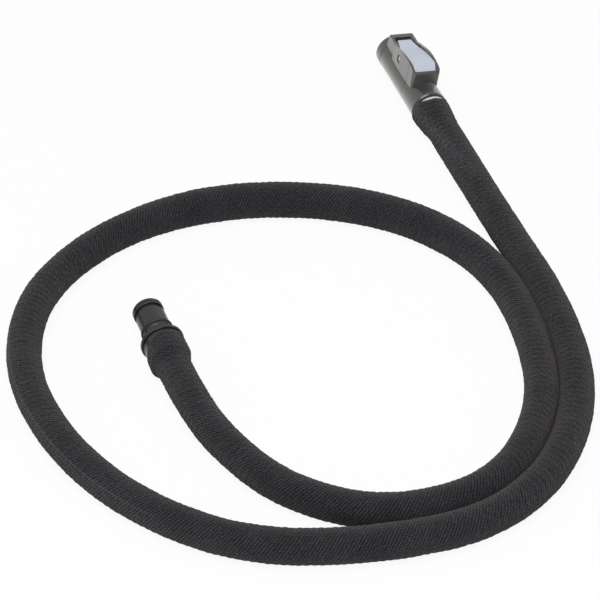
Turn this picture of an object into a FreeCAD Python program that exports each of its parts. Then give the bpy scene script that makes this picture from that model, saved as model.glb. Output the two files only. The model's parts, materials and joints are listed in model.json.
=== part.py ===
"""Insulated drinking tube: a soft tube in a woven sleeve, with a latching shut-off socket and a plug.

It lies on a table in one and a half loops. +Y runs out of the socket's mouth and +Z is up, and the
origin is under the middle of the socket, on the table. All sizes are in millimetres.
"""
import FreeCAD
import Part
import math
import os

from FreeCAD import Vector

# --- Clearances ---------------------------------------------------------------------------------
RUNNING = 0.05          # radial, between a shaft and its hole
SLIP = 0.02             # radial, between pieces pushed together and left there
RING_SQUASH = 0.02      # left around a seal ring in its groove
SEAL_GAP = 0.05         # between the closed valve's seal and the web
LEVER_SIDE_GAP = 0.4    # between the lever and the walls of its pocket
LEVER_REAR_GAP = 0.6    # between the lever's tail and the back of its pocket
SLEEVE_EASE = 0.2       # radial, between the tube or its clamps and the sleeve

# --- Tube and sleeve ----------------------------------------------------------------------------
TUBE_OD = 9.5
TUBE_BORE = 6.35
SLEEVE_OD = 13.0
SLEEVE_STEP = 0.15
COLLAR_COVER = 0.45
TAPE_THICK = 0.1
TAPE_LENGTH = 4.0
TAPE_GAP = 0.5
CLAMP_THICK = 0.7
CLAMP_LENGTH = 6.0
CLAMP_GAP = 0.7

# --- Socket: lengths are depths behind its mouth ---------------------------------------------------
BARREL_OD = 15.2
BARREL_WAIST_R = 7.45
MOUTH_BEAD = 4.4
MOUTH_ROUND = 0.8
MOUTH_CHAMFER = 0.5
SEAL_BORE_R = 6.25
SEAL_BORE_END = 9.5
GUIDE_BORE_R = 6.07
SOCKET_DEPTH = 18.0
WEB_THICK = 1.9
PORT_R = 4.2
CHAMBER_R = 5.7
SEAM = 30.0
SEAM_GROOVE_HALF = 0.1
SEAM_GROOVE_DEPTH = 0.12
LAP_LENGTH = 3.2
LAP_R = 6.5
SPIGOT_BORE_R = 4.6
REAR_BORE_R = 5.0
GUIDE_SEAT = 29.6
BARREL_LENGTH = 43.8
TAIL_LENGTH = 1.2
TAIL_R = 6.7
SOCKET_ROLL = 8.0       # the socket lies turned this far about its bore

# --- Latch shroud, lever and pin -------------------------------------------------------------------
SHROUD_FRONT = 5.0
SHROUD_FOOT = 3.4
SHROUD_REAR = 35.2
SHROUD_OVERHANG = 1.2
SHROUD_NOSE_HALF = 5.15
SHROUD_HALF = 6.1
SHROUD_TAIL_HALF = 5.2
PANEL_FRONT = 13.0
RIM_FRONT_Z = 11.1
RIM_CREST_Z = 13.95
RIM_CREST = 26.0
RIM_REAR_Z = 12.3
SHROUD_CORNER = 0.8
SHROUD_WALL = 0.8
NOSE_WALL = 1.3
FRONT_WALL = 2.2
POCKET_FLOOR_Z = 7.4
LEVER_FRONT = 8.8
LEVER_FRONT_HALF = 2.8
PAD_Z = 10.9
STEP_DEPTH = 16.0
LEVER_CREST_Z = 13.85
LEVER_CREST = 31.2
PIVOT_DEPTH = 20.0
PIVOT_Z = 9.4
PIN_R = 0.75
BOSS_WALL = 0.45
PIN_INSET = 0.1
RECESS_HALF = 1.45
RECESS_AHEAD = 0.6
RECESS_DROP = 1.1
RECESS_DEPTH = 0.4
HOOK_DEPTH = 12.1
HOOK_LENGTH = 1.3
HOOK_HALF = 1.4
HOOK_TIP_Z = 5.35
SLOT_EASE = 0.35
HOOK_SWING = 0.8
RIDGE_COUNT = 4
RIDGE_HALF_WIDTH = 3.2
RIDGE_PITCH = 2.0
RIDGE_RISE = 0.16
RIDGE_FROM_STEP = 8.0
LEVER_SPRING_DEPTH = 27.5
LEVER_SPRING_R = 1.75
LEVER_SPRING_TOP = 12.1
LEVER_PITCH = 0.9
LEVER_WIRE_R = 0.25
SPRING_CLOSING = 0.55   # 0 is an even pitch, and 1 is flat at the springs' ends

# --- Shut-off valve ----------------------------------------------------------------------------
SPIDER_FRONT = 13.0
SPIDER_THICK = 1.0
SPIDER_R = 5.3
STEM_R = 2.0
HEAD_R = 4.95
HEAD_THICK = 1.5
TAIL_STEM_R = 1.15
TAIL_STEM_LENGTH = 10.0
VALVE_TRAVEL = 3.5
POPPET_RING_R = 0.6
VALVE_SPRING_R = 3.6
VALVE_WIRE_R = 0.25
VALVE_PITCH = 1.25
GUIDE_THICK = 1.6

# --- Hose barbs ----------------------------------------------------------------------------------
INSERT_FLANGE = 1.4
INSERT_FLANGE_R = 7.15
INSERT_GROOVE = 37.0
BARB_ROOT_R = 3.0
BARB_PEAK_R = 3.6
BARB_BORE_R = 2.2
BARB_PITCH = 3.7
BARB_TIP = 0.5
SOCKET_BARBS = 3

# --- Plug: lengths are depths behind its tip -------------------------------------------------------
LIP_R = 6.0
LIP_LENGTH = 3.0
LIP_LINE = 1.7
LIP_LINE_WIDTH = 0.35
LIP_LINE_DROP = 0.2
LATCH_GROOVE_R = 5.2
LATCH_GROOVE_LENGTH = 1.4
NOSE_R = 5.75
RING_GROOVE = 12.2
RING_GROOVE_LENGTH = 2.0
RING_GROOVE_DROP = 1.1
RING_BITE = 0.05        # how far the plug's free seal ring stands beyond the sealing bore
NECK_R = 5.55
FLANGE_FRONT = 19.1
FLANGE_THICK = 1.6
FLANGE_R = 8.4
PLUG_BORE_R = 3.0
PLUG_BARBS = 3
COLLAR_R = 7.6
COLLAR_WALL = 1.2
COLLAR_LENGTH = 7.0

# --- Where things lie -----------------------------------------------------------------------------
AXIS_Z = BARREL_OD / 2
RING_SEAT = BARREL_LENGTH + TAIL_LENGTH
HOSE_START = RING_SEAT + INSERT_FLANGE
INSERT_LENGTH = HOSE_START + SOCKET_BARBS * BARB_PITCH + BARB_TIP
MOUTH_Y = INSERT_LENGTH / 2
PLUG_X = -146.4
TIP_Y = -97.8
HOSE_END = FLANGE_FRONT + FLANGE_THICK

# The tube's route, from the back of the socket to the back of the plug's flange.
HOSE_Z = SLEEVE_OD / 2
ROUTE = [
    (0, MOUTH_Y - HOSE_START, AXIS_Z),
    (0, -50, AXIS_Z),
    (0.7, -96, HOSE_Z),
    (2.3, -142, HOSE_Z),
    (-5.4, -188.6, HOSE_Z),
    (-29.4, -225.6, HOSE_Z),
    (-63.9, -245.1, HOSE_Z),
    (-107.9, -242.1, HOSE_Z),
    (-149.9, -228.1, HOSE_Z),
    (-180.9, -196.1, HOSE_Z),
    (-197.9, -155.6, HOSE_Z),
    (-200.4, -113.1, HOSE_Z),
    (-185.9, -75.1, HOSE_Z),
    (-153.9, -50.1, HOSE_Z),
    (-111.9, -40.1, HOSE_Z),
    (-67.4, -50.6, HOSE_Z),
    (-32.4, -77.1, HOSE_Z),
    (-12.9, -112.1, HOSE_Z),
    (-11.9, -152.1, HOSE_Z),
    (-22.9, -194.6, HOSE_Z),
    (-54.4, -225.1, HOSE_Z),
    (-94.9, -228.8, HOSE_Z),
    (-127, -209.5, HOSE_Z),
    (-141.5, -176.5, 7.0),
    (PLUG_X, -147, FLANGE_R),
    (PLUG_X, TIP_Y - HOSE_END, FLANGE_R),
]


# --- Making and placing shapes ----------------------------------------------------------------------
def turned(outline):
    """Solid turned about the Y axis from (depth, radius) points, with depth running to -Y."""
    points = [Vector(0, -depth, radius) for depth, radius in outline]
    return Part.Face(Part.makePolygon(points + points[:1])).revolve(Vector(), Vector(0, 1, 0), 360)


def rod(start, end, radius):
    """Round bar along the bore between two depths."""
    return turned([(start, 0), (start, radius), (end, radius), (end, 0)])


def ring(start, end, outer, inner):
    """Plain ring about the bore between two depths."""
    return turned([(start, inner), (start, outer), (end, outer), (end, inner)])


def seal_ring(depth, middle_r, wire_r):
    """O-ring about the bore."""
    return Part.makeTorus(middle_r, wire_r, Vector(0, -depth, 0), Vector(0, 1, 0))


def side_profile(edges, half_width):
    """Outline in the YZ plane carried across the X axis by half_width to each side."""
    face = Part.Face(Part.Wire(edges))
    face.translate(Vector(-half_width, 0, 0))
    return face.extrude(Vector(2 * half_width, 0, 0))


def side_polygon(outline, half_width):
    """Straight-sided outline of (depth, z) points carried across the X axis."""
    points = [Vector(0, -depth, z) for depth, z in outline]
    return side_profile(Part.makePolygon(points + points[:1]).Edges, half_width)


def plan_prism(outline, low, high):
    """Upright prism, alike left and right, from its right side's (depth, half width) points."""
    right = [Vector(half, -depth, low) for depth, half in outline]
    left = [Vector(-half, -depth, low) for depth, half in reversed(outline)]
    points = right + left
    return Part.Face(Part.makePolygon(points + points[:1])).extrude(Vector(0, 0, high - low))


def softened(shape, radius, wanted):
    """Shape with a round on each edge whose bounding box passes a test."""
    return shape.makeFillet(radius, [edge for edge in shape.Edges if wanted(edge.BoundBox)])


def coil(radius, wire_r, low, high, pitch):
    """Compression spring about the Z axis, from low to high over all, wound closer at its ends."""
    rise = high - low - 2 * wire_r
    quarters = math.floor(4 * rise / pitch)

    def at(quarter):
        share = quarter / quarters
        height = rise * (share - SPRING_CLOSING * math.sin(2 * math.pi * share) / (2 * math.pi))
        angle = math.pi / 2 * quarter
        return Vector(radius * math.cos(angle), radius * math.sin(angle), low + wire_r + height)

    arcs = [Part.Arc(at(count), at(count + 0.5), at(count + 1)).toShape() for count in range(quarters)]
    along = arcs[0].tangentAt(arcs[0].FirstParameter)
    section = Part.Wire(Part.makeCircle(wire_r, at(0), along))
    return Part.Wire(arcs).makePipeShell([section], True, False)


def at_socket(shape):
    """Carry a shape from the bore's own axes to where the socket lies."""
    shape.rotate(Vector(), Vector(0, 1, 0), SOCKET_ROLL)
    shape.translate(Vector(0, MOUTH_Y, AXIS_Z))
    return shape


def at_plug(shape):
    """Carry a shape from the plug's own axes to where the plug lies."""
    shape.translate(Vector(PLUG_X, TIP_Y, FLANGE_R))
    return shape


# --- Socket housing -----------------------------------------------------------------------------
def shroud_block():
    """Solid outside of the latch shroud: its plan, cut to the rising and falling rim, with round corners."""
    rim_rear = SHROUD_REAR + SHROUD_OVERHANG
    plan = [
        (SHROUD_FOOT - 1.0, SHROUD_NOSE_HALF),
        (PANEL_FRONT - 1.0, SHROUD_NOSE_HALF + 0.1),
        (PANEL_FRONT, SHROUD_HALF - 0.2),
        (RIM_CREST - 6.0, SHROUD_HALF),
        (rim_rear - 2.2, SHROUD_HALF - 0.1),
        (rim_rear, SHROUD_TAIL_HALF),
    ]
    rim = Part.BSplineCurve()
    rim.interpolate([
        Vector(0, -(PANEL_FRONT - 2.0), RIM_FRONT_Z - 0.1),
        Vector(0, -(PANEL_FRONT + 1.5), RIM_FRONT_Z + 0.5),
        Vector(0, -(PANEL_FRONT + RIM_CREST + 1.5) / 2, (RIM_FRONT_Z + RIM_CREST_Z) / 2 + 0.7),
        Vector(0, -RIM_CREST, RIM_CREST_Z),
        Vector(0, -(RIM_CREST + rim_rear) / 2, RIM_CREST_Z - 0.35),
        Vector(0, -rim_rear, RIM_REAR_Z),
    ])
    front_top = Vector(0, -SHROUD_FRONT, RIM_FRONT_Z)
    front_foot = Vector(0, -SHROUD_FOOT, AXIS_Z / 2)
    rear_foot = Vector(0, -SHROUD_REAR, AXIS_Z / 2)
    corners = [rim.EndPoint, rear_foot, Vector(0, -SHROUD_REAR, 0), Vector(0, -SHROUD_FOOT, 0),
               front_foot, front_top, rim.StartPoint]
    edges = [rim.toShape()] + [Part.makeLine(a, b) for a, b in zip(corners, corners[1:])]
    block = plan_prism(plan, 0, 2 * RIM_CREST_Z).common(side_profile(edges, BARREL_OD))

    def end_corner(bounds):
        at_end = bounds.YMin > -SHROUD_FRONT - 1 or bounds.YMax < -rim_rear + 2.5
        return at_end and bounds.ZLength > 3 and bounds.ZMax > RIM_FRONT_Z - 1

    return softened(block, SHROUD_CORNER, end_corner)


POCKET_FRONT = SHROUD_FRONT + FRONT_WALL
POCKET_REAR = SHROUD_REAR - 0.2
POCKET_HALF = SHROUD_HALF - SHROUD_WALL


def pocket():
    """Open-topped space that the lever works in."""
    nose_half = SHROUD_NOSE_HALF - NOSE_WALL
    plan = [
        (POCKET_FRONT, nose_half),
        (PANEL_FRONT - 1.0, nose_half + 0.3),
        (PANEL_FRONT + 2.0, POCKET_HALF - 0.4),
        (RIM_CREST - 6.0, POCKET_HALF),
        (POCKET_REAR - 1.2, POCKET_HALF),
        (POCKET_REAR, SHROUD_TAIL_HALF - 0.4),
    ]
    return plan_prism(plan, POCKET_FLOOR_Z, 2 * RIM_CREST_Z)


def pin_recess(side):
    """Upright slot in the shroud's flank, with the pin's end in its upper rear corner."""
    middle = RECESS_AHEAD - PIVOT_DEPTH
    foot_z = PIVOT_Z - RECESS_DROP
    window = Part.makeBox(2, 2 * RECESS_HALF, RECESS_DROP, Vector(0, middle - RECESS_HALF, foot_z))
    top = Part.makeCylinder(RECESS_HALF, 2, Vector(0, middle, PIVOT_Z), Vector(1, 0, 0))
    foot = Part.makeCylinder(RECESS_HALF, 2, Vector(0, middle, foot_z), Vector(1, 0, 0))
    slot = window.fuse([top, foot])
    face = SHROUD_HALF - RECESS_DEPTH
    slot.translate(Vector(face if side > 0 else -face - 2, 0, 0))
    return slot


def seam_groove():
    """Shallow groove around the barrel and up both flanks, where the housing's halves meet."""
    start = SEAM - SEAM_GROOVE_HALF
    end = SEAM + SEAM_GROOVE_HALF
    inner = SHROUD_HALF - 0.05 - SEAM_GROOVE_DEPTH
    around = ring(start, end, BARREL_WAIST_R + 0.6, BARREL_WAIST_R - SEAM_GROOVE_DEPTH)
    middle = Part.makeBox(2 * inner, 2, BARREL_OD, Vector(-inner, -SEAM - 1, 0))
    flank = Part.makeBox(2, end - start, 2 * RIM_CREST_Z, Vector(inner, -end, 3.0))
    other = flank.mirror(Vector(), Vector(1, 0, 0))
    return around.cut(middle).fuse([flank, other])


def housing_outside():
    """Barrel and shroud as one closed form, with its spring post."""
    outer = BARREL_OD / 2
    barrel = turned([
        (0, 0),
        (0, outer),
        (MOUTH_BEAD, outer),
        (MOUTH_BEAD + 0.8, BARREL_WAIST_R),
        (SEAM, BARREL_WAIST_R),
        (BARREL_LENGTH - 0.6, outer),
        (BARREL_LENGTH, outer - 0.4),
        (BARREL_LENGTH, TAIL_R),
        (RING_SEAT, TAIL_R),
        (RING_SEAT, 0),
    ])
    mouth_edges = [e for e in barrel.Edges if e.isClosed() and e.BoundBox.YMin > -1e-6]
    barrel = barrel.makeFillet(MOUTH_ROUND, mouth_edges)
    hollow = pocket()
    block = barrel.fuse(shroud_block()).removeSplitter().cut(hollow)
    post = Part.makeCylinder(LEVER_SPRING_R - LEVER_WIRE_R - 0.3, 1.2,
                             Vector(0, -LEVER_SPRING_DEPTH, POCKET_FLOOR_Z))
    pin_hole = Part.makeCylinder(PIN_R + SLIP, 2 * SHROUD_HALF,
                                 Vector(-SHROUD_HALF, -PIVOT_DEPTH, PIVOT_Z), Vector(1, 0, 0))
    block = block.fuse(post)
    return block.cut([pin_hole, pin_recess(1), pin_recess(-1), seam_groove()])


def front_housing(outside):
    """Mouth half of the socket: sealing bore, latch slot, valve web and chamber."""
    hollow = turned([
        (0, 0),
        (0, SEAL_BORE_R + MOUTH_CHAMFER),
        (MOUTH_CHAMFER, SEAL_BORE_R),
        (SEAL_BORE_END, SEAL_BORE_R),
        (SEAL_BORE_END + 0.1, GUIDE_BORE_R),
        (SOCKET_DEPTH, GUIDE_BORE_R),
        (SOCKET_DEPTH, PORT_R),
        (SOCKET_DEPTH + WEB_THICK, PORT_R),
        (SOCKET_DEPTH + WEB_THICK, CHAMBER_R),
        (SEAM - LAP_LENGTH - 0.2, CHAMBER_R),
        (SEAM - LAP_LENGTH - 0.2, LAP_R),
        (SEAM, LAP_R),
        (SEAM, 0),
    ])
    slot_length = HOOK_SWING + HOOK_LENGTH + 2 * SLOT_EASE
    slot = Part.makeBox(2 * (HOOK_HALF + SLOT_EASE), slot_length, POCKET_FLOOR_Z)
    slot.translate(Vector(-HOOK_HALF - SLOT_EASE, -(HOOK_DEPTH + HOOK_LENGTH + SLOT_EASE), 1.0))
    return outside.common(rod(-1, SEAM, 4 * BARREL_OD)).cut([hollow, slot])


def rear_housing(outside):
    """Tail half of the socket: lap-jointed spigot, guide seat and insert bore."""
    shell = outside.common(rod(SEAM, RING_SEAT + 1, 4 * BARREL_OD))
    spigot = rod(SEAM - LAP_LENGTH, SEAM, LAP_R - SLIP)
    hollow = turned([
        (SEAM - LAP_LENGTH - 1, 0),
        (SEAM - LAP_LENGTH - 1, SPIGOT_BORE_R),
        (GUIDE_SEAT, SPIGOT_BORE_R),
        (GUIDE_SEAT, REAR_BORE_R),
        (RING_SEAT + 1, REAR_BORE_R),
        (RING_SEAT + 1, 0),
    ])
    groove = ring(SEAM - 2.3, SEAM - 0.9, LAP_R + 1, LAP_R - 1.2)
    return shell.fuse(spigot).removeSplitter().cut([hollow, groove])


def housing_oring():
    """Seal in the spigot's groove, between the housing's two halves."""
    wire_r = (1.2 - SLIP) / 2 - RING_SQUASH
    return seal_ring(SEAM - 1.6, LAP_R - 1.2 + RING_SQUASH + wire_r, wire_r)


# --- Latch ------------------------------------------------------------------------------------------
def lever_outline():
    """Side outline of the lever's body, and the curve of its ridged slope."""
    rear = POCKET_REAR - LEVER_REAR_GAP
    boss = PIN_R + RUNNING + BOSS_WALL
    slope = Part.BSplineCurve()
    slope.interpolate([
        Vector(0, -(STEP_DEPTH + 0.8), PAD_Z + 0.5),
        Vector(0, -(STEP_DEPTH + LEVER_CREST) / 2, (PAD_Z + LEVER_CREST_Z) / 2 + 0.55),
        Vector(0, -(LEVER_CREST - 2.5), LEVER_CREST_Z - 0.1),
        Vector(0, -LEVER_CREST, LEVER_CREST_Z),
    ])
    lip_end = Vector(0, -(LEVER_CREST + 0.7), LEVER_CREST_Z - 0.5)
    lip = Part.Arc(slope.EndPoint, Vector(0, -(LEVER_CREST + 0.4), LEVER_CREST_Z - 0.15), lip_end)
    corners = [
        lip_end,
        Vector(0, -rear, LEVER_CREST_Z - 2.5),
        Vector(0, -rear, PIVOT_Z + 1.0),
        Vector(0, -(PIVOT_DEPTH + 3.0), PIVOT_Z - 0.3),
        Vector(0, -(PIVOT_DEPTH + boss), PIVOT_Z - boss),
        Vector(0, -(PIVOT_DEPTH - boss), PIVOT_Z - boss),
        Vector(0, -(LEVER_FRONT + 0.4), PAD_Z - 2.0),
        Vector(0, -LEVER_FRONT, PAD_Z - 1.6),
        Vector(0, -LEVER_FRONT, PAD_Z - 0.4),
        Vector(0, -(LEVER_FRONT + 0.4), PAD_Z),
        Vector(0, -STEP_DEPTH, PAD_Z + 0.1),
        slope.StartPoint,
    ]
    edges = [slope.toShape(), lip.toShape()]
    edges += [Part.makeLine(a, b) for a, b in zip(corners, corners[1:])]
    return edges, slope


def lever_plan():
    """Right side of the lever's plan: (depth, half width) points."""
    wide = POCKET_HALF - LEVER_SIDE_GAP
    return [
        (LEVER_FRONT - 1, LEVER_FRONT_HALF),
        (LEVER_FRONT + 0.2, LEVER_FRONT_HALF),
        (PANEL_FRONT - 1.0, LEVER_FRONT_HALF + 0.55),
        (PANEL_FRONT + 3.0, wide - 0.5),
        (RIM_CREST - 5.0, wide),
        (LEVER_CREST, wide),
        (POCKET_REAR, wide - 0.6),
    ]


def ridge(slope, depth):
    """Broad, low grip ridge across the slope at a depth."""
    line = Part.makeLine(Vector(0, -depth, 0), Vector(0, -depth, 2 * RIM_CREST_Z))
    top = slope.toShape().distToShape(line)[1][0][0].z
    return side_polygon([
        (depth - 0.85, top - 0.4),
        (depth - 0.4, top + RIDGE_RISE - 0.06),
        (depth + 0.4, top + RIDGE_RISE + 0.06),
        (depth + 0.85, top - 0.2),
    ], RIDGE_HALF_WIDTH)


def release_lever():
    """Thumb lever: low front pad, ridged slope with a rounded rear lip, and the latch hook."""
    edges, slope = lever_outline()
    body = side_profile(edges, SHROUD_HALF).common(plan_prism(lever_plan(), 0, 2 * RIM_CREST_Z))
    hook = side_polygon([
        (HOOK_DEPTH, PAD_Z - 1.0),
        (HOOK_DEPTH, HOOK_TIP_Z + 0.7),
        (HOOK_DEPTH + 0.5, HOOK_TIP_Z),
        (HOOK_DEPTH + HOOK_LENGTH, HOOK_TIP_Z),
        (HOOK_DEPTH + HOOK_LENGTH, PAD_Z - 1.0),
    ], HOOK_HALF)
    first = STEP_DEPTH + RIDGE_FROM_STEP
    ridges = [ridge(slope, first + count * RIDGE_PITCH) for count in range(RIDGE_COUNT)]
    body = body.fuse(ridges + [hook]).removeSplitter()
    pin_hole = Part.makeCylinder(PIN_R + RUNNING, 2 * SHROUD_HALF,
                                 Vector(-SHROUD_HALF, -PIVOT_DEPTH, PIVOT_Z), Vector(1, 0, 0))
    spring_hole = Part.makeCylinder(LEVER_SPRING_R + LEVER_WIRE_R + 0.3,
                                    LEVER_SPRING_TOP - POCKET_FLOOR_Z,
                                    Vector(0, -LEVER_SPRING_DEPTH, POCKET_FLOOR_Z))
    return body.cut([pin_hole, spring_hole])


def lever_pin():
    """Steel pin through both flanks of the shroud, just short of the faces."""
    half = SHROUD_HALF - PIN_INSET
    return Part.makeCylinder(PIN_R, 2 * half, Vector(-half, -PIVOT_DEPTH, PIVOT_Z), Vector(1, 0, 0))


def lever_spring():
    """Compression spring that holds the lever's tail up."""
    spring = coil(LEVER_SPRING_R, LEVER_WIRE_R, POCKET_FLOOR_Z + 0.05, LEVER_SPRING_TOP - 0.05, LEVER_PITCH)
    spring.translate(Vector(0, -LEVER_SPRING_DEPTH, 0))
    return spring


# --- Valve --------------------------------------------------------------------------------------------
HEAD_FRONT = SOCKET_DEPTH + WEB_THICK + 2 * POPPET_RING_R + SEAL_GAP


def valve_poppet():
    """Valve with a three-armed nose that the plug pushes, a sealing head and a guided tail."""
    body = turned([
        (SPIDER_FRONT, 0),
        (SPIDER_FRONT, STEM_R),
        (HEAD_FRONT, STEM_R),
        (HEAD_FRONT, HEAD_R),
        (HEAD_FRONT + HEAD_THICK, HEAD_R),
        (HEAD_FRONT + HEAD_THICK, TAIL_STEM_R),
        (HEAD_FRONT + HEAD_THICK + TAIL_STEM_LENGTH, TAIL_STEM_R),
        (HEAD_FRONT + HEAD_THICK + TAIL_STEM_LENGTH, 0),
    ])
    disc = rod(SPIDER_FRONT, SPIDER_FRONT + SPIDER_THICK, SPIDER_R)
    for turn in (90, 210, 330):
        arm = Part.makeBox(SPIDER_R + 1, SPIDER_THICK, 2.2, Vector(0, -SPIDER_FRONT - SPIDER_THICK, -1.1))
        arm.rotate(Vector(), Vector(0, 1, 0), turn)
        body = body.fuse(arm.common(disc))
    return body.removeSplitter()


def poppet_oring():
    """Seal in front of the poppet's head, which closes on the web."""
    return seal_ring(HEAD_FRONT - POPPET_RING_R - RING_SQUASH, PORT_R + 0.3, POPPET_RING_R - RING_SQUASH)


def valve_guide():
    """Spoked disc that guides the poppet's tail and carries its spring."""
    disc = ring(GUIDE_SEAT, GUIDE_SEAT + GUIDE_THICK, REAR_BORE_R - SLIP, TAIL_STEM_R + RUNNING)
    window = ring(GUIDE_SEAT - 1, GUIDE_SEAT + GUIDE_THICK + 1, VALVE_SPRING_R - 0.5, TAIL_STEM_R + 0.9)
    for turn in (0, 120, 240):
        spoke = Part.makeBox(CHAMBER_R, GUIDE_THICK + 4, 1.4, Vector(0, -GUIDE_SEAT - GUIDE_THICK - 2, -0.7))
        spoke.rotate(Vector(), Vector(0, 1, 0), turn)
        window = window.cut(spoke)
    return disc.cut(window)


def valve_spring():
    """Compression spring between the guide and the poppet's head."""
    spring = coil(VALVE_SPRING_R, VALVE_WIRE_R, HEAD_FRONT + HEAD_THICK + 0.05, GUIDE_SEAT - 0.05, VALVE_PITCH)
    spring.rotate(Vector(), Vector(1, 0, 0), 90)
    return spring


# --- Hose barbs ---------------------------------------------------------------------------------------
def barb_outline(start, count):
    """Saw-toothed (depth, radius) points of a hose barb whose teeth grip against -Y."""
    outline = []
    for tooth in range(count):
        foot = start + tooth * BARB_PITCH
        outline += [(foot, BARB_ROOT_R), (foot + 1.0, BARB_ROOT_R), (foot + 1.0, BARB_PEAK_R),
                    (foot + 1.6, BARB_PEAK_R)]
    return outline


def barb_insert():
    """Pale insert: plug with a seal groove, visible flange ring and hose barb."""
    boss_start = GUIDE_SEAT + GUIDE_THICK
    boss_r = REAR_BORE_R - SLIP
    outline = [
        (boss_start, BARB_BORE_R),
        (boss_start, boss_r),
        (INSERT_GROOVE, boss_r),
        (INSERT_GROOVE, boss_r - 1.1),
        (INSERT_GROOVE + 1.4, boss_r - 1.1),
        (INSERT_GROOVE + 1.4, boss_r),
        (RING_SEAT, boss_r),
        (RING_SEAT, INSERT_FLANGE_R - 0.2),
        (RING_SEAT + 0.2, INSERT_FLANGE_R),
        (HOSE_START - 0.2, INSERT_FLANGE_R),
        (HOSE_START, INSERT_FLANGE_R - 0.2),
    ]
    outline += barb_outline(HOSE_START, SOCKET_BARBS)
    outline += [(INSERT_LENGTH, BARB_ROOT_R - 0.2), (INSERT_LENGTH, BARB_BORE_R)]
    return turned(outline)


def insert_oring():
    """Seal in the insert's groove."""
    wire_r = (1.1 + SLIP) / 2 - RING_SQUASH
    return seal_ring(INSERT_GROOVE + 0.7, REAR_BORE_R - RING_SQUASH - wire_r, wire_r)


def clamp(start):
    """Crimp ring over the tube where it covers a barb."""
    inner = TUBE_OD / 2 + SLIP
    return ring(start, start + CLAMP_LENGTH, inner + CLAMP_THICK, inner)


# --- Plug -----------------------------------------------------------------------------------------------
def plug_body():
    """Plug in one piece: lip, latch groove, sealing nose, flange and hose barb."""
    outline = [
        (0, PLUG_BORE_R),
        (0, LIP_R - 0.8),
        (0.25, LIP_R - 0.3),
        (0.8, LIP_R),
        (LIP_LINE, LIP_R),
        (LIP_LINE + 0.1, LIP_R - LIP_LINE_DROP),
        (LIP_LINE + LIP_LINE_WIDTH, LIP_R - LIP_LINE_DROP),
        (LIP_LINE + LIP_LINE_WIDTH + 0.1, LIP_R),
        (LIP_LENGTH - 0.2, LIP_R),
        (LIP_LENGTH, LIP_R - 0.2),
        (LIP_LENGTH, LATCH_GROOVE_R),
        (LIP_LENGTH + LATCH_GROOVE_LENGTH, LATCH_GROOVE_R),
        (LIP_LENGTH + LATCH_GROOVE_LENGTH + 0.7, NOSE_R),
        (RING_GROOVE, NOSE_R),
        (RING_GROOVE, NOSE_R - RING_GROOVE_DROP),
        (RING_GROOVE + RING_GROOVE_LENGTH, NOSE_R - RING_GROOVE_DROP),
        (RING_GROOVE + RING_GROOVE_LENGTH, NOSE_R),
        (RING_GROOVE + RING_GROOVE_LENGTH + 0.8, NOSE_R),
        (RING_GROOVE + RING_GROOVE_LENGTH + 1.2, NECK_R),
        (FLANGE_FRONT - 0.6, NECK_R),
        (FLANGE_FRONT, NECK_R + 0.6),
        (FLANGE_FRONT, FLANGE_R - 0.4),
        (FLANGE_FRONT + 0.4, FLANGE_R),
        (HOSE_END - 0.3, FLANGE_R),
        (HOSE_END, FLANGE_R - 0.3),
    ]
    end = HOSE_END + PLUG_BARBS * BARB_PITCH + BARB_TIP
    outline += barb_outline(HOSE_END, PLUG_BARBS)
    outline += [(end, BARB_ROOT_R - 0.2), (end, BARB_BORE_R), (HOSE_END - 1, BARB_BORE_R),
                (HOSE_END - 2, PLUG_BORE_R)]
    return turned(outline)


def plug_oring():
    """Seal ring in the plug's nose, proud enough to be squeezed by the sealing bore."""
    floor = NOSE_R - RING_GROOVE_DROP + RING_SQUASH
    wire_r = (SEAL_BORE_R + RING_BITE - floor) / 2
    return seal_ring(RING_GROOVE + RING_GROOVE_LENGTH / 2, floor + wire_r, wire_r)


def plug_collar():
    """Skirt behind the flange, which covers the clamp and carries the sleeve's end."""
    end = HOSE_END + COLLAR_LENGTH
    inner = COLLAR_R - COLLAR_WALL
    return turned([(HOSE_END, inner), (HOSE_END, COLLAR_R), (end - 0.4, COLLAR_R),
                   (end, COLLAR_R - 0.4), (end, inner)])


# --- Tube and sleeve ------------------------------------------------------------------------------------
def path(points):
    """Straight runs joined by tangent arcs, and the arcs' radii."""
    corners = [Vector(*p) for p in points]
    edges = []
    radii = []
    start = corners[0]
    for before, corner, after in zip(corners, corners[1:], corners[2:]):
        back = before - corner
        ahead = after - corner
        reach = 0.45 * min(back.Length, ahead.Length)
        half_turn = (math.pi - back.getAngle(ahead)) / 2
        radius = reach / math.tan(half_turn)
        back.normalize()
        ahead.normalize()
        middle = back + ahead
        middle.normalize()
        enter = corner + back * reach
        leave = corner + ahead * reach
        top = corner + middle * (radius / math.cos(half_turn) - radius)
        edges.append(Part.LineSegment(start, enter).toShape())
        edges.append(Part.Arc(enter, top, leave).toShape())
        radii.append(radius)
        start = leave
    edges.append(Part.LineSegment(start, corners[-1]).toShape())
    return Part.Wire(edges), radii


def swept(spine, radius):
    """Round bar along the route."""
    section = Part.Wire(Part.makeCircle(radius, spine.Vertexes[0].Point, Vector(0, 1, 0)))
    return spine.makePipeShell([section], True, False)


def drinking_tube(spine):
    """Soft tube, stretched over the barb at each end."""
    tube = swept(spine, TUBE_OD / 2).cut(swept(spine, TUBE_BORE / 2))
    socket_barb = at_socket(rod(HOSE_START - 1, INSERT_LENGTH + 0.4, BARB_PEAK_R + SLIP))
    plug_barb = at_plug(rod(HOSE_END - 1, HOSE_END + PLUG_BARBS * BARB_PITCH + 0.9, BARB_PEAK_R + SLIP))
    return tube.cut([socket_barb, plug_barb])


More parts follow.
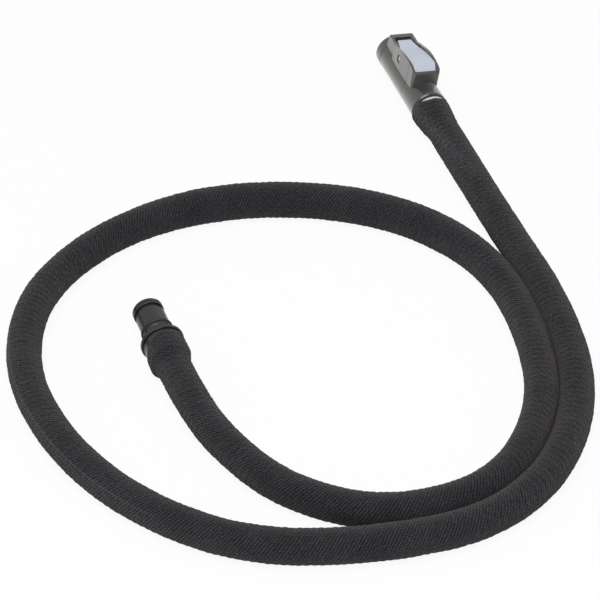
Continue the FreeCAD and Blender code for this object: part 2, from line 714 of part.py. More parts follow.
def sleeve_end(outline):
    """Swelling of the sleeve over a clamp, from (depth, radius) points of its outside."""
    swell = Part.BSplineCurve()
    swell.interpolate([Vector(0, -depth, radius) for depth, radius in outline])
    start = Vector(0, -outline[0][0], 0)
    tail = Vector(0, -outline[-1][0], 0)
    corners = [swell.EndPoint, tail, start, swell.StartPoint]
    edges = [swell.toShape()] + [Part.makeLine(a, b) for a, b in zip(corners, corners[1:])]
    return Part.Face(Part.Wire(edges)).revolve(Vector(), Vector(0, 1, 0), 360)


def woven_sleeve(spine):
    """Sleeve over the tube, turned in behind the socket and drawn over the plug's collar."""
    plain = SLEEVE_OD / 2
    socket_end = at_socket(sleeve_end([
        (HOSE_START, AXIS_Z - 0.4),
        (HOSE_START + 2.5, AXIS_Z - 0.05),
        (HOSE_START + 7, AXIS_Z - 0.3),
        (HOSE_START + 14, plain + SLEEVE_STEP),
    ]))
    collar_end = HOSE_END + COLLAR_LENGTH
    over_collar = COLLAR_R + SLEEVE_EASE + COLLAR_COVER
    plug_end = at_plug(sleeve_end([
        (HOSE_END, over_collar),
        (collar_end - 1, over_collar),
        (collar_end + 3.5, plain + 0.7),
        (collar_end + 7, plain + SLEEVE_STEP),
    ]))
    body = swept(spine, plain).fuse([socket_end, plug_end])
    clamp_room = TUBE_OD / 2 + SLIP + CLAMP_THICK + SLEEVE_EASE
    hollows = [
        swept(spine, TUBE_OD / 2 + SLEEVE_EASE),
        at_socket(rod(HOSE_START - 1, HOSE_START + CLAMP_GAP + CLAMP_LENGTH + TAPE_GAP, clamp_room)),
        at_plug(rod(HOSE_END - 1, collar_end + 0.2, COLLAR_R + SLEEVE_EASE)),
    ]
    slant = Part.makeBox(40, 12, 40, Vector(-20, 0, -20))
    slant.rotate(Vector(), Vector(-0.3, 0, 1), 22)
    slant.translate(Vector(0, -(HOSE_END + 3.4), 0))
    return body.cut(hollows + [at_plug(slant)])


def sleeve_tape(place, start):
    """Band of double-sided tape that holds the sleeve to the tube."""
    inner = TUBE_OD / 2 + SLIP
    return place(ring(start, start + TAPE_LENGTH, inner + TAPE_THICK, inner))


# --- Build -------------------------------------------------------------------------------------------
def build():
    """Every piece of the assembly, by name."""
    spine, radii = path(ROUTE)
    print("tube radii:", [round(r) for r in radii])
    outside = housing_outside()
    pieces = {
        "front_housing": at_socket(front_housing(outside)),
        "rear_housing": at_socket(rear_housing(outside)),
        "housing_oring": at_socket(housing_oring()),
        "release_lever": at_socket(release_lever()),
        "lever_pin": at_socket(lever_pin()),
        "lever_spring": at_socket(lever_spring()),
        "valve_poppet": at_socket(valve_poppet()),
        "poppet_oring": at_socket(poppet_oring()),
        "valve_guide": at_socket(valve_guide()),
        "valve_spring": at_socket(valve_spring()),
        "barb_insert": at_socket(barb_insert()),
        "insert_oring": at_socket(insert_oring()),
        "socket_clamp": at_socket(clamp(HOSE_START + CLAMP_GAP)),
        "drinking_tube": drinking_tube(spine),
        "woven_sleeve": woven_sleeve(spine),
        "plug_body": at_plug(plug_body()),
        "plug_oring": at_plug(plug_oring()),
        "plug_collar": at_plug(plug_collar()),
        "plug_clamp": at_plug(clamp(HOSE_END + CLAMP_GAP)),
        "socket_tape": sleeve_tape(at_socket, HOSE_START + CLAMP_GAP + CLAMP_LENGTH + TAPE_GAP),
        "plug_tape": sleeve_tape(at_plug, HOSE_END + CLAMP_GAP + CLAMP_LENGTH + TAPE_GAP),
    }
    section = math.pi * (TUBE_OD ** 2 - TUBE_BORE ** 2) / 4
    print("tube length:", round(spine.Length, 1), "by volume:",
          round(pieces["drinking_tube"].Volume / section, 1))
    return pieces


os.makedirs("parts", exist_ok=True)
for name, shape in build().items():
    print(name, len(shape.Solids), "solid", round(shape.Volume, 1), "mm3")
    shape.exportStep("parts/" + name + ".step")
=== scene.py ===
"""Insulated drinking tube with a latching shut-off socket and a plug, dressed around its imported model."""
import json
import math

import bmesh
import bpy
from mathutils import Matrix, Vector


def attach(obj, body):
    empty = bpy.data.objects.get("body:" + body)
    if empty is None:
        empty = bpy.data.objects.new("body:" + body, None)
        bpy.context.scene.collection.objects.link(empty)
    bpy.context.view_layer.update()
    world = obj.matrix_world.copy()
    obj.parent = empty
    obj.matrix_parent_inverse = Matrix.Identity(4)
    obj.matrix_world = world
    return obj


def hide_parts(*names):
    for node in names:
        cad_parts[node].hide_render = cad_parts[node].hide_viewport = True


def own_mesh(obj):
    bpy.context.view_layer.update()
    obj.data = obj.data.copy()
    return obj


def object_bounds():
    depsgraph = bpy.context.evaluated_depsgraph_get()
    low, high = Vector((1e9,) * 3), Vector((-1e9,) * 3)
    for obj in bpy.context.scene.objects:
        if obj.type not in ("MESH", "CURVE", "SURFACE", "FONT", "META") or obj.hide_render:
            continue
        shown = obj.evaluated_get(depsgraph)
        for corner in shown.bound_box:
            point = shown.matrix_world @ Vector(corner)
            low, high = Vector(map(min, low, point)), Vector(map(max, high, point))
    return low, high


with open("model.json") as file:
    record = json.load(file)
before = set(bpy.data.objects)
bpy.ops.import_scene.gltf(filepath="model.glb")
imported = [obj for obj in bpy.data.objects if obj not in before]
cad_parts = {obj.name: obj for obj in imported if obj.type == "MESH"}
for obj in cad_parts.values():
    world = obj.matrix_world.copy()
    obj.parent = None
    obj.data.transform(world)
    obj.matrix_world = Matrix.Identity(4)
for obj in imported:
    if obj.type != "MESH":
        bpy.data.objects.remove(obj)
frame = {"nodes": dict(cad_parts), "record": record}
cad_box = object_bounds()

# --- Socket housing ----------------------------------------------------------------------------------
# Two halves in charcoal glass-filled nylon, joined by a lap behind the lever's pin. The mould gives them
# a fine spark-eroded grain, which looks paler at a flat angle.
nodes = frame["nodes"]


class Socket:
    """An output of a node, on which sums and products add their own nodes."""

    def __init__(self, tree, output=None):
        self.tree = tree
        self.output = output

    def node(self, kind, values, output=0, **settings):
        """Add a node: its settings first, then its sockets' values or links."""
        made = self.tree.nodes.new(kind)
        for name, setting in settings.items():
            setattr(made, name, setting)
        for name, value in values.items():
            if isinstance(value, Socket):
                self.tree.links.new(value.output, made.inputs[name])
            else:
                made.inputs[name].default_value = value
        return Socket(self.tree, made.outputs[output])

    def maths(self, operation, *others):
        """Math node on this value and then the others."""
        return self.node("ShaderNodeMath", dict(enumerate((self, *others))), operation=operation)

    def after(self, operation, first):
        """Math node on another value and then this one."""
        return self.node("ShaderNodeMath", {0: first, 1: self}, operation=operation)

    def step(self, low, high, at_low, at_high):
        """Smooth step between two values of this one."""
        values = {0: self, 1: low, 2: high, 3: at_low, 4: at_high}
        return self.node("ShaderNodeMapRange", values, interpolation_type="SMOOTHSTEP")

    def rise(self, low, high):
        """0 up to low, and 1 from high on."""
        return self.step(low, high, 0.0, 1.0)

    def fall(self, low, high):
        """1 up to low, and 0 from high on."""
        return self.step(low, high, 1.0, 0.0)

    def within(self, rise, fall):
        """1 between two ranges, over which it rises and falls."""
        return self.rise(*rise) * self.fall(*fall)

    def between(self, at_zero, at_one):
        """Straight from one value, where this is 0, to another, where it is 1."""
        return at_zero + (at_one - at_zero) * self

    def mix(self, first, second):
        """Colour mixed by this value."""
        return self.node("ShaderNodeMix", {0: self, 6: first, 7: second}, output=2, data_type="RGBA")

    def __add__(self, other):
        return self.maths("ADD", other)

    __radd__ = __add__

    def __sub__(self, other):
        return self.maths("SUBTRACT", other)

    def __rsub__(self, other):
        return self.after("SUBTRACT", other)

    def __mul__(self, other):
        return self.maths("MULTIPLY", other)

    __rmul__ = __mul__

    def __truediv__(self, other):
        return self.maths("DIVIDE", other)

    def __rtruediv__(self, other):
        return self.after("DIVIDE", other)

    def __pow__(self, other):
        return self.maths("POWER", other)


def srgb(red, green, blue):
    """Linear colour from the 0 to 255 values that a screen shows."""
    shares = [value / 255 for value in (red, green, blue)]
    return tuple(s / 12.92 if s < 0.04045 else ((s + 0.055) / 1.055) ** 2.4 for s in shares) + (1,)


def finish(name, constants):
    """New material: its shader node, and object coordinates, from which its other nodes are added."""
    material = bpy.data.materials.new(name)
    material.use_nodes = True
    shader = material.node_tree.nodes["Principled BSDF"]
    for title, value in constants.items():
        shader.inputs[title].default_value = value
    return material, shader, Socket(material.node_tree).node("ShaderNodeTexCoord", {}, output="Object")


def feed(shader, title, socket):
    """Link a socket to one of the shader's inputs."""
    socket.tree.links.new(socket.output, shader.inputs[title])


def noise(place, scale, detail=2.0, **more):
    """Noise at a place, with this many cells to the metre."""
    values = {"Vector": place, "Scale": scale, "Detail": detail, **more}
    return place.node("ShaderNodeTexNoise", values)


# The flow marks' share of the colour beside the grain's, and how far handling varies the roughness.
FLOW_SHARE = 0.7
HANDLING = 0.08


def moulded(name, dark, light, rough, grain_scale, shine, grain_depth=0.00002):
    """Plastic, rubber or tape: a fine grain, faint flow marks, and a roughness that handling has varied."""
    material, shader, place = finish(name, shine)
    grain = noise(place, grain_scale)
    flow = noise(place, 140.0, 4.0, Distortion=0.6)
    feed(shader, "Base Color", (flow * FLOW_SHARE + grain * (1 - FLOW_SHARE)).mix(dark, light))
    feed(shader, "Roughness", flow.between(rough - HANDLING, rough + HANDLING))
    relief = {"Strength": 0.35, "Distance": grain_depth, "Height": grain}
    feed(shader, "Normal", place.node("ShaderNodeBump", relief))
    return material


def dress(material, *names):
    """Give CAD pieces their finish."""
    for name in names:
        for slot in nodes[name].material_slots:
            slot.material = material


housing_plastic = moulded(
    "housing_plastic",
    dark=srgb(30, 30, 33),
    light=srgb(42, 42, 45),
    rough=0.35,
    grain_scale=5200.0,
    shine={
        "Specular IOR Level": 0.1,
        "Coat Weight": 1.0,
        "Coat Roughness": 0.22,
        "Coat IOR": 1.5,
        "Coat Tint": (1.0, 0.98, 0.94, 1),
        "Sheen Weight": 0.55,
        "Sheen Roughness": 0.5,
        "Sheen Tint": (1.0, 0.97, 0.91, 1),
    },
)
dress(housing_plastic, "front_housing", "rear_housing")

# --- Valve and insert --------------------------------------------------------------------------------
# The valve slides in its guide, and the barbed insert plugs the rear half behind them. All three are
# natural acetal, an off-white plastic, and only the insert's flange shows, as a pale ring by the sleeve.
inner_plastic = moulded(
    "inner_plastic",
    dark=srgb(204, 212, 226),
    light=srgb(218, 225, 237),
    rough=0.38,
    grain_scale=3800.0,
    shine={"Specular IOR Level": 0.5},
)
dress(inner_plastic, "valve_poppet", "valve_guide", "barb_insert")

# --- Seals -------------------------------------------------------------------------------------------
# Black nitrile rings with the dull bloom that rubber has. Each is stretched into a groove of its own: two
# inside the socket, one on the valve's face and one on the plug's nose.
seal_rubber = moulded(
    "seal_rubber",
    dark=srgb(30, 30, 31),
    light=srgb(44, 44, 45),
    rough=0.5,
    grain_scale=3000.0,
    shine={"Specular IOR Level": 0.3},
)
dress(seal_rubber, "housing_oring", "insert_oring", "poppet_oring", "plug_oring")

# --- Lever -------------------------------------------------------------------------------------------
# Moulded in a pale blue-grey so that the thumb finds it at once, with the housing's grain but no gloss.
# It swings on the pin through the shroud's walls.
lever_plastic = moulded(
    "lever_plastic",
    dark=srgb(192, 200, 214),
    light=srgb(206, 213, 225),
    rough=0.5,
    grain_scale=5200.0,
    shine={"Specular IOR Level": 0.5},
)
dress(lever_plastic, "release_lever")

# --- Steel: pin, springs and clamps ------------------------------------------------------------------
# A stainless pin carries the lever, two stainless springs close the latch and the valve, and a crimped
# stainless ring holds the tube on each barb.


def drawn_steel():
    """Stainless wire and strip, with fine drawing marks."""
    material, shader, place = finish("steel", {"Metallic": 1.0})
    streak = noise(place, 2400.0, 3.0)
    feed(shader, "Base Color", streak.mix(srgb(168, 170, 174), srgb(206, 208, 212)))
    feed(shader, "Roughness", streak.between(0.24, 0.40))
    return material


dress(drawn_steel(), "lever_pin", "lever_spring", "valve_spring", "socket_clamp", "plug_clamp")

# How near two points are when they count as one, and how far the lever's tail comes down at full press.
WELD = 1e-6
LEVER_TAIL_DROP = 0.0015


def placed(name, data):
    """New object of some data, in the scene."""
    added = bpy.data.objects.new(name, data)
    bpy.context.scene.collection.objects.link(added)
    return added


def sprung(name, axis, drop):
    """Welded copy of a spring, tied to the socket in place of the CAD piece, which keeps its rest length.
    """
    spring = placed(name.replace("spring", "coil"), nodes[name].data.copy())
    shape = bmesh.new()
    shape.from_mesh(spring.data)
    bmesh.ops.remove_doubles(shape, verts=shape.verts, dist=WELD)
    shape.to_mesh(spring.data)
    shape.free()
    heights = [vertex.co.dot(axis) for vertex in spring.data.vertices]
    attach(spring, "socket")
    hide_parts(name)
    1 - drop / (max(heights) - min(heights))
    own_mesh(spring)


joints = {joint["name"]: joint for joint in frame["record"]["behaviour"]["joints"]}
bore_line = Vector((0, 1, 0))
hinge_line = Vector(joints["lever_press"]["axis"])
sprung("lever_spring", hinge_line.cross(bore_line), LEVER_TAIL_DROP)
sprung("valve_spring", bore_line, joints["valve_push"]["range_m"][1])

# --- Plug --------------------------------------------------------------------------------------------
# Nose, flange and barb are one moulding in dark acetal, with a polished skin that its seal needs. A
# separate skirt behind the flange covers the clamp, which holds the tube on the barb.
plug_plastic = moulded(
    "plug_plastic",
    dark=srgb(22, 22, 25),
    light=srgb(34, 34, 37),
    rough=0.36,
    grain_scale=4200.0,
    shine={"Specular IOR Level": 0.25, "Coat Weight": 0.3, "Coat Roughness": 0.25, "Coat IOR": 1.5},
)
dress(plug_plastic, "plug_body", "plug_collar")

# --- Tapes -------------------------------------------------------------------------------------------
# Thin double-sided cloth tape, in a pale buff. One turn goes round the tube at each end, under the sleeve,
# and keeps the sleeve from creeping.
tape_cloth = moulded(
    "tape",
    dark=srgb(206, 198, 178),
    light=srgb(220, 214, 198),
    rough=0.7,
    grain_scale=900.0,
    grain_depth=0.00003,
    shine={"Specular IOR Level": 0.3},
)
dress(tape_cloth, "socket_tape", "plug_tape")

# --- Drinking tube -----------------------------------------------------------------------------------
# About a metre of clear soft polyurethane, pushed over a barb at each end and hidden by the sleeve. It
# lies loose on the table in one and a half turns, straight out of the socket's tail and straight into
# the plug.
ROUTE = [
    (0, -0.0174, 0.0076),
    (0, -0.050, 0.0076),
    (0.0007, -0.096, 0.0065),
    (0.0021, -0.142, 0.0065),
    (-0.0056, -0.1886, 0.0065),
    (-0.0294, -0.2256, 0.0065),
    (-0.0640, -0.2446, 0.0065),
    (-0.1078, -0.2414, 0.0065),
    (-0.1497, -0.2277, 0.0065),
    (-0.1806, -0.1959, 0.0065),
    (-0.1979, -0.1556, 0.0065),
    (-0.2006, -0.1130, 0.0065),
    (-0.1855, -0.0754, 0.0065),
    (-0.1536, -0.0508, 0.0068),
    (-0.1119, -0.0416, 0.0071),
    (-0.0674, -0.0517, 0.0071),
    (-0.0312, -0.0761, 0.0068),
    (-0.0118, -0.1118, 0.0065),
    (-0.0115, -0.1523, 0.0065),
    (-0.0221, -0.1950, 0.0065),
    (-0.0531, -0.2285, 0.0065),
    (-0.0953, -0.2306, 0.0065),
    (-0.1262, -0.2089, 0.0065),
    (-0.1415, -0.1765, 0.0070),
    (-0.1464, -0.147, 0.0084),
    (-0.1464, -0.1185, 0.0084),
]
LINE_STEPS = 24


def hose_line():
    """Smooth centre line of the hose, as a mesh of edges."""
    curve = bpy.data.curves.new("hose_line", "CURVE")
    curve.dimensions = "3D"
    curve.resolution_u = LINE_STEPS
    spline = curve.splines.new("NURBS")
    spline.points.add(len(ROUTE) - 1)
    for point, place in zip(spline.points, ROUTE):
        point.co = (*place, 1)
    spline.order_u = 3
    spline.use_endpoint_u = True
    carrier = placed("hose_line", curve)
    bpy.context.view_layer.update()
    line = bpy.data.meshes.new_from_object(carrier)
    bpy.data.objects.remove(carrier)
    return line


line = hose_line()


def new_tree(name, floats):
    """Geometry tree with named inputs, the sockets of those inputs, and its output node."""
    tree = bpy.data.node_groups.new(name, "GeometryNodeTree")
    tree.interface.new_socket("Geometry", in_out="INPUT", socket_type="NodeSocketGeometry")
    for title in floats:
        tree.interface.new_socket(title, in_out="INPUT", socket_type="NodeSocketFloat")
    tree.interface.new_socket("Columns", in_out="INPUT", socket_type="NodeSocketInt")
    tree.interface.new_socket("Material", in_out="INPUT", socket_type="NodeSocketMaterial")
    tree.interface.new_socket("Geometry", in_out="OUTPUT", socket_type="NodeSocketGeometry")
    group_in = tree.nodes.new("NodeGroupInput")
    given = {socket.name: Socket(tree, socket) for socket in group_in.outputs if socket.name}
    return tree, given, tree.nodes.new("NodeGroupOutput")


def even_spine(curve, step):
    """The curve in even steps, with its columns lined up by the vertical."""
    spine = curve.node("GeometryNodeResampleCurve", {"Curve": curve, "Length": step}, mode="LENGTH")
    return spine.node("GeometryNodeSetCurveNormal", {"Curve": spine}, mode="Z_UP")


def swept(spine, profile, radius):
    """Wall that a profile sweeps out along a spine."""
    values = {"Curve": spine, "Profile Curve": profile, "Scale": radius}
    return spine.node("GeometryNodeCurveToMesh", values)


def close(given, out, outer, inner):
    """Join a wall and its lining, weld them, and send them out with the given material."""
    both = outer.node("GeometryNodeJoinGeometry", {0: outer})
    lining = inner.node("GeometryNodeFlipFaces", {"Mesh": inner})
    outer.tree.links.new(lining.output, both.output.node.inputs[0])
    both = both.node("GeometryNodeMergeByDistance", {"Geometry": both, "Distance": WELD})
    both = both.node("GeometryNodeSetShadeSmooth", {"Geometry": both})
    both = both.node("GeometryNodeRealizeInstances", {"Geometry": both})
    both = both.node("GeometryNodeSetMaterial", {"Geometry": both, "Material": given["Material"]})
    both.tree.links.new(both.output, out.inputs[0])


def grow(name, mesh, tree, values):
    """New object with the plain mesh that a geometry tree makes of another mesh."""
    piece = placed(name, mesh.copy())
    modifier = piece.modifiers.new(tree.name, "NODES")
    modifier.node_group = tree
    for item in tree.interface.items_tree:
        if item.name in values:
            modifier[item.identifier] = values[item.name]
    graph = bpy.context.evaluated_depsgraph_get()
    grown = bpy.data.meshes.new_from_object(piece.evaluated_get(graph))
    piece.modifiers.remove(modifier)
    piece.data = grown
    return piece


# Past a barb or a clamp, the hose is back to its own width at this many times their length.
TAPER = 1.3


def tube_tree():
    """Plain round tube along a line, with its bore opened over the barbs at both ends."""
    tree, given, out = new_tree("tube", ["Step", "Radius", "Bore", "Barb Room", "Barb Length"])
    root = Socket(tree)
    curve = root.node("GeometryNodeMeshToCurve", {0: given["Geometry"]})
    spine = even_spine(curve, given["Step"])
    circle = {"Resolution": given["Columns"], "Radius": 1.0}
    profile = root.node("GeometryNodeCurvePrimitiveCircle", circle)
    along = root.node("GeometryNodeSplineParameter", {}, output="Length")
    to_end = root.node("GeometryNodeCurveLength", {0: curve}) - along
    barb = given["Barb Length"]
    opened = along.fall(barb, barb * TAPER) + to_end.fall(barb, barb * TAPER)
    bore = opened.between(given["Bore"], given["Barb Room"])
    close(given, out, swept(spine, profile, given["Radius"]), swept(spine, profile, bore))
    return tree


def tube_finish():
    """Tube: a pale colour with a faint blue cast, slightly hazy."""
    material, shader, place = finish("tube_clear", {"Specular IOR Level": 0.5})
    haze = noise(place, 300.0, 3.0)
    feed(shader, "Base Color", haze.mix(srgb(176, 190, 200), srgb(196, 206, 212)))
    feed(shader, "Roughness", haze.between(0.25, 0.45))
    return material


tube = grow("tube", line, tube_tree(), {
    "Step": 0.002,
    "Radius": 0.00475,
    "Bore": 0.003175,
    "Barb Room": 0.00365,
    "Barb Length": 0.012,
    "Columns": 24,
    "Material": tube_finish(),
})
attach(tube, "socket")
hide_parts("drinking_tube")

# --- Woven sleeve ------------------------------------------------------------------------------------
# Tubular webbing of charcoal nylon twill, drawn over the whole tube. In a bend its picks bunch into low
# ribs, and one bend keeps a soft fold from storage. It swells over the clamp behind the socket, and it
# reaches further over the plug's skirt on one side than on the other.
SLEEVE_RADIUS = 0.0065

# The ribs wind round in two starts, and the skin stands out a little further to make up for their depth.
RIB_PITCH = 0.0026
RIB_STARTS = 2.0
RIB_ROOM = 0.00015
STEPS_PER_RIB = 6

# The twill's floats: metres from one to the next, and how many stand side by side in one turn.
TWILL_PITCH = 0.0013
TWILL_COLUMNS = 56
TWILL_STARTS = 20
FULL_TURN = 2 * math.pi

# Directions across the hose: the side on which the sleeve reaches furthest over the plug, and the side on
# which it stops short of the socket, where the insert's flange shows. The range says how nearly a point
# faces that second side as it falls back.
RIGHT_SIDE = (0.95, 0, 0.31)
TOP_SIDE = (0.12, 0, 0.99)
TOP_SPREAD = (0.5, 1.0)

# Shares of the start's fade up to which the skin keeps its whole swell, and over which the lining narrows.
SKIN_HOLD = 0.25
LINING_FADE = 0.3

# Metres from the socket over which each stretch rises and falls: the fold, and where the sleeve is slack.
CREASE_STRETCH = ((0.36, 0.39), (0.49, 0.53))
SLACK_STRETCH = ((0.55, 0.61), (0.68, 0.75))

# The fold's place and width as shares of a turn, and how far it lightens the weave.
CREASE_TURN = 0.6065
CREASE_WIDTH = 0.012
CREASE_LIGHT = 0.3

# How sharply the fold, the bulge over the clamp, the pulled end and the rims' rounding are drawn.
CREASE_POWER = 40.0
BULGE_POWER = 2.0
PULL_POWER = 3.0
RIM_POWER = 0.6

# The least that any point's coordinates may be: the table's top in height, and no limit across it.
TABLE_LIMIT = (-1, -1, 0)


def sleeve_tree():
    """Ribbed skin and plain lining along a line, each with its own radius, pulled along it at the ends."""
    tree, given, out = new_tree("sleeve", [
        "Step", "Lining Step", "Radius", "Inner Radius", "Start Swell", "Start Fade", "Start Lining",
        "Start Bulge", "Start Pull", "End Swell", "End Hold", "End Fade", "End Lining", "End Pull",
        "End Trim", "Rib Pitch", "Rib Depth", "Unevenness", "Fullness", "Crease", "Rim",
    ])
    root = Socket(tree)

    def stored(geometry, name, value, **settings):
        """Geometry that carries a value under a name."""
        values = {"Geometry": geometry, "Name": name, "Value": value}
        return root.node("GeometryNodeStoreNamedAttribute", values, **settings)

    def named(name, kind="FLOAT"):
        """Value that the geometry carries under a name."""
        return root.node("GeometryNodeInputNamedAttribute", {"Name": name}, data_type=kind)

    def vectors(operation, *values, output=0, **more):
        """Vector Math node on these values."""
        values = {**dict(enumerate(values)), **more}
        return root.node("ShaderNodeVectorMath", values, output=output, operation=operation)

    curve = root.node("GeometryNodeMeshToCurve", {0: given["Geometry"]})
    length = root.node("GeometryNodeCurveLength", {0: curve}) - given["End Trim"]
    curve = root.node("GeometryNodeTrimCurve", {"Curve": curve, 4: 0.0, 5: length}, mode="LENGTH")
    columns = given["Columns"] + 1
    circle = {"Resolution": columns, "Radius": 1.0, "Start Angle": 0.0, "Sweep Angle": FULL_TURN}
    profile = root.node("GeometryNodeCurveArc", circle)
    profile = stored(profile, "around", root.node("GeometryNodeSplineParameter", {}, output="Factor"))

    def skin(step, radius_of):
        """Wall in steps of one length, whose radius is a rule of the place along it and round it."""
        spine = even_spine(curve, step)
        spine = stored(spine, "along", root.node("GeometryNodeSplineParameter", {}, output="Length"))
        tangent = root.node("GeometryNodeInputTangent", {})
        spine = stored(spine, "tangent", tangent, data_type="FLOAT_VECTOR")
        here = root.node("GeometryNodeInputPosition", {})
        spine = stored(spine, "centre", here, data_type="FLOAT_VECTOR")
        wall = swept(spine, profile, given["Radius"])
        along = named("along")
        to_end = length - along
        outward = vectors("NORMALIZE", vectors("SUBTRACT", here, named("centre", "FLOAT_VECTOR")))
        right = vectors("DOT_PRODUCT", outward, RIGHT_SIDE, output="Value")
        top = vectors("DOT_PRODUCT", outward, TOP_SIDE, output="Value")
        left = (right * -1.0).maths("MAXIMUM", 0.0)
        swell = radius_of(along, to_end, left) - given["Radius"]
        to_socket = given["Start Pull"] * top.fall(*TOP_SPREAD) * along.fall(0.0, given["Start Fade"])
        off_plug = (0.5 - right * 0.5) ** PULL_POWER * to_end.fall(0.0, given["End Fade"])
        off_plug = off_plug * given["End Pull"]
        pull = vectors("SCALE", named("tangent", "FLOAT_VECTOR"), Scale=(to_socket + off_plug) * -1.0)
        shift = vectors("ADD", vectors("SCALE", outward, Scale=swell), pull)
        wall = root.node("GeometryNodeSetPosition", {"Geometry": wall, "Offset": shift})
        on_table = vectors("MAXIMUM", here, TABLE_LIMIT)
        return root.node("GeometryNodeSetPosition", {"Geometry": wall, "Position": on_table})

    def lining(along, to_end, left):
        """Radius inside: over the tube, and wider over the clamps."""
        inner = given["Inner Radius"]
        start = along.fall(0.0, given["Start Fade"] * LINING_FADE) * (given["Start Lining"] - inner)
        end = to_end.fall(given["End Hold"], given["End Hold"] * TAPER) * (given["End Lining"] - inner)
        return inner + start + end

    def outside(along, to_end, left):
        """Radius outside: full ends, ribs, bunched unevenness, the fold, and rims that round inwards."""
        around = named("around")
        start = along.fall(given["Start Fade"] * SKIN_HOLD, given["Start Fade"]) * given["Start Swell"]
        bulge = left ** BULGE_POWER * along.fall(0.0, given["Start Fade"]) * given["Start Bulge"]
        end = to_end.fall(given["End Hold"], given["End Fade"]) * given["End Swell"]
        rib = ((along / given["Rib Pitch"] + around * RIB_STARTS) * math.pi).maths("SINE").maths("ABSOLUTE")
        broad = root.node("ShaderNodeTexNoise", {"Scale": 70.0, "Detail": 1.0}) - 0.5
        bunch = root.node("ShaderNodeTexNoise", {"Scale": 330.0, "Detail": 1.0}) - 0.5
        fold = ((around - CREASE_TURN) * FULL_TURN).maths("COSINE").maths("MAXIMUM", 0.0) ** CREASE_POWER
        full = given["Radius"] + start + bulge + end
        full = full - given["Rib Depth"] * (1 - rib) + given["Unevenness"] * (broad + bunch)
        full = full + fold * along.within(*CREASE_STRETCH) * given["Crease"]
        full = full + along.within(*SLACK_STRETCH) * given["Fullness"]
        inner = lining(along, to_end, left)
        rim = along.rise(0.0, given["Rim"]) * to_end.rise(0.0, given["Rim"])
        return (rim ** RIM_POWER).between(inner, full)

    outer = skin(given["Step"], outside)
    inner = skin(given["Lining Step"], lining)
    place = root.node("ShaderNodeCombineXYZ", {"X": named("around"), "Y": named("along")})
    as_uv = {"data_type": "FLOAT2", "domain": "CORNER"}
    close(given, out, stored(outer, "UVMap", place, **as_uv), stored(inner, "UVMap", place, **as_uv))
    return tree


# How bright the gaps are beside the floats, and the floats' share of the light beside the fuzz's. Single
# fibres and broad patches vary that light between two factors, and then comes the contrast of the whole.
GAP_LIGHT = 0.3
FLOAT_SHARE = 0.55
FIBRE_LIGHT = (0.3, 1.7)
PATCH_LIGHT = (0.75, 1.25)
CONTRAST = 1.6

# Where the tufts' noise turns into fuzz, and the shares of grain, fuzz and single fibres in the relief.
FUZZ_RANGE = (0.35, 0.72)
GRAIN_RELIEF = 0.5
FUZZ_RELIEF = 0.8
FIBRE_RELIEF = 0.4

# Worn flecks behind the socket, in a band that runs slantwise: its turn at the socket, its turns to the
# metre, its half width in turns, the metres over which it ends, where the tufts' noise turns into flecks,
# and how far they lighten the weave.
WEAR_TURN = 0.95
WEAR_SLANT = 3.5
WEAR_WIDTH = 0.1
WEAR_END = (0.03, 0.07)
WEAR_RANGE = (0.45, 0.7)
WEAR_LIGHT = 0.9


def sleeve_finish():
    """Charcoal twill: a grain for every float, uneven from float to float, with lighter fuzz on top."""
    material, shader, place = finish("sleeve_weave", {
        "Sheen Weight": 0.28,
        "Sheen Roughness": 0.35,
        "Sheen Tint": srgb(200, 190, 177),
        "Specular IOR Level": 0.1,
    })
    uv = place.node("ShaderNodeUVMap", {}, uv_map="UVMap")
    around = uv.node("ShaderNodeSeparateXYZ", {0: uv}, output=0)
    along = uv.node("ShaderNodeSeparateXYZ", {0: uv}, output=1)
    pick = along / TWILL_PITCH + around * TWILL_STARTS
    across = (around * (TWILL_COLUMNS * math.pi)).maths("SINE").maths("ABSOLUTE")
    lift = (pick * FULL_TURN).maths("COSINE") * 0.5 + 0.5
    grain = across.between(GAP_LIGHT, 1.0) * lift.between(GAP_LIGHT, 1.0)
    tuft = noise(place, 2600.0, 3.0, Roughness=0.6)
    fibre = noise(place, 4200.0, 3.0, Roughness=0.7)
    patch = noise(place, 60.0)
    fuzz = tuft.rise(*FUZZ_RANGE)
    light = FLOAT_SHARE * grain + (1 - FLOAT_SHARE) * fuzz
    light = light * fibre.between(*FIBRE_LIGHT) * patch.between(*PATCH_LIGHT)
    fold = (around - CREASE_TURN).maths("ABSOLUTE").fall(0.0, CREASE_WIDTH)
    fold = fold * along.within(*CREASE_STRETCH)
    band = (around + along * WEAR_SLANT - WEAR_TURN).maths("ABSOLUTE").fall(0.0, WEAR_WIDTH)
    worn = band * along.fall(*WEAR_END) * tuft.rise(*WEAR_RANGE)
    light = light ** CONTRAST + fold * CREASE_LIGHT + worn * WEAR_LIGHT
    feed(shader, "Base Color", light.mix(srgb(9, 9, 11), srgb(88, 88, 95)))
    feed(shader, "Roughness", light.between(0.95, 0.8))
    height = grain * GRAIN_RELIEF + fuzz * FUZZ_RELIEF + fibre * FIBRE_RELIEF
    relief = {"Strength": 0.7, "Distance": 0.0004, "Height": height}
    feed(shader, "Normal", place.node("ShaderNodeBump", relief))
    return material


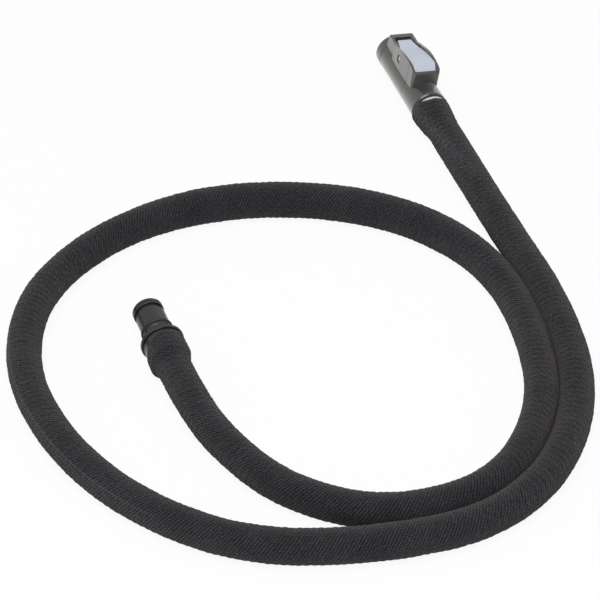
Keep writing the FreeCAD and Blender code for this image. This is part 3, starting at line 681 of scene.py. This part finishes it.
sleeve = grow("sleeve", line, sleeve_tree(), {
    "Step": RIB_PITCH / STEPS_PER_RIB,
    "Lining Step": 0.004,
    "Radius": SLEEVE_RADIUS + RIB_ROOM,
    "Inner Radius": 0.0051,
    "Start Swell": 0.001,
    "Start Fade": 0.014,
    "Start Lining": 0.0070,
    "Start Bulge": 0.0006,
    "Start Pull": 0.0026,
    "End Swell": 0.00165,
    "End Hold": 0.0075,
    "End Fade": 0.014,
    "End Lining": 0.0077,
    "End Pull": 0.0065,
    "End Trim": 0.0007,
    "Rib Pitch": RIB_PITCH,
    "Rib Depth": 0.00016,
    "Unevenness": 0.0004,
    "Fullness": 0.0006,
    "Crease": 0.0004,
    "Rim": 0.0006,
    "Columns": 36,
    "Material": sleeve_finish(),
})
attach(sleeve, "socket")
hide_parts("woven_sleeve")

# --- Table, light and camera -------------------------------------------------------------------------
# A white table under a wide soft sky, with one large lamp above it, in front and to the left. The camera
# looks down on it from the near left, through a long lens.
TABLE_SIDE = 6.0
TABLE_GLOW = 0.92
SKY_STRENGTH = 0.38


def seen_directly(tree):
    """1 for rays that show a surface as it is: to the camera, in a reflection or through glass."""
    rays = tree.nodes.new("ShaderNodeLightPath")
    camera, glossy, clear = (Socket(tree, rays.outputs[f"Is {kind} Ray"])
                             for kind in ("Camera", "Glossy", "Transmission"))
    return camera.maths("MAXIMUM", glossy).maths("MAXIMUM", clear)


def table_finish():
    """White table: lightened where it is seen directly, and it keeps the soft shadow."""
    material, shader, place = finish("table", {"Specular IOR Level": 0.0})
    tone = noise(place, 3.0)
    feed(shader, "Base Color", tone.mix((0.93, 0.93, 0.93, 1), (0.95, 0.95, 0.95, 1)))
    feed(shader, "Roughness", tone.between(0.9, 0.95))
    matt = Socket(material.node_tree, shader.outputs[0])
    glow = matt.node("ShaderNodeEmission", {"Color": (1, 1, 1, 1), "Strength": 1.0})
    shares = {0: seen_directly(matt.tree) * TABLE_GLOW, 1: matt, 2: glow}
    feed(material.node_tree.nodes["Material Output"], "Surface", matt.node("ShaderNodeMixShader", shares))
    return material


half = TABLE_SIDE / 2
corners = [(-half, -half, 0), (half, -half, 0), (half, half, 0), (-half, half, 0)]
table_top = bpy.data.meshes.new("table")
table_top.from_pydata(corners, [], [(0, 1, 2, 3)])
table_top.materials.append(table_finish())
placed("table", table_top)

world = bpy.data.worlds.new("sky")
world.use_nodes = True
background = world.node_tree.nodes["Background"]
background.inputs["Color"].default_value = (1, 1, 1, 1)
feed(background, "Strength", SKY_STRENGTH + (1 - SKY_STRENGTH) * seen_directly(world.node_tree))
bpy.context.scene.world = world

middle = (Vector(cad_box[0]) + Vector(cad_box[1])) / 2
light = bpy.data.lights.new("key", "AREA")
light.size = 1.0
light.energy = 15.5
lamp = placed("key", light)
lamp.location = (-0.4, -0.6, 1.35)
lamp.rotation_euler = (middle - lamp.location).to_track_quat("-Z", "Y").to_euler()

bpy.context.scene.view_settings.view_transform = "Standard"
camera = bpy.data.cameras.new("camera")
camera.lens = 180
camera.sensor_width = 36
camera = placed("camera", camera)
camera.location = (-0.3704, -0.9267, 0.7578)
camera.rotation_euler = (math.radians(49), 0, math.radians(-19))
bpy.context.scene.camera = camera
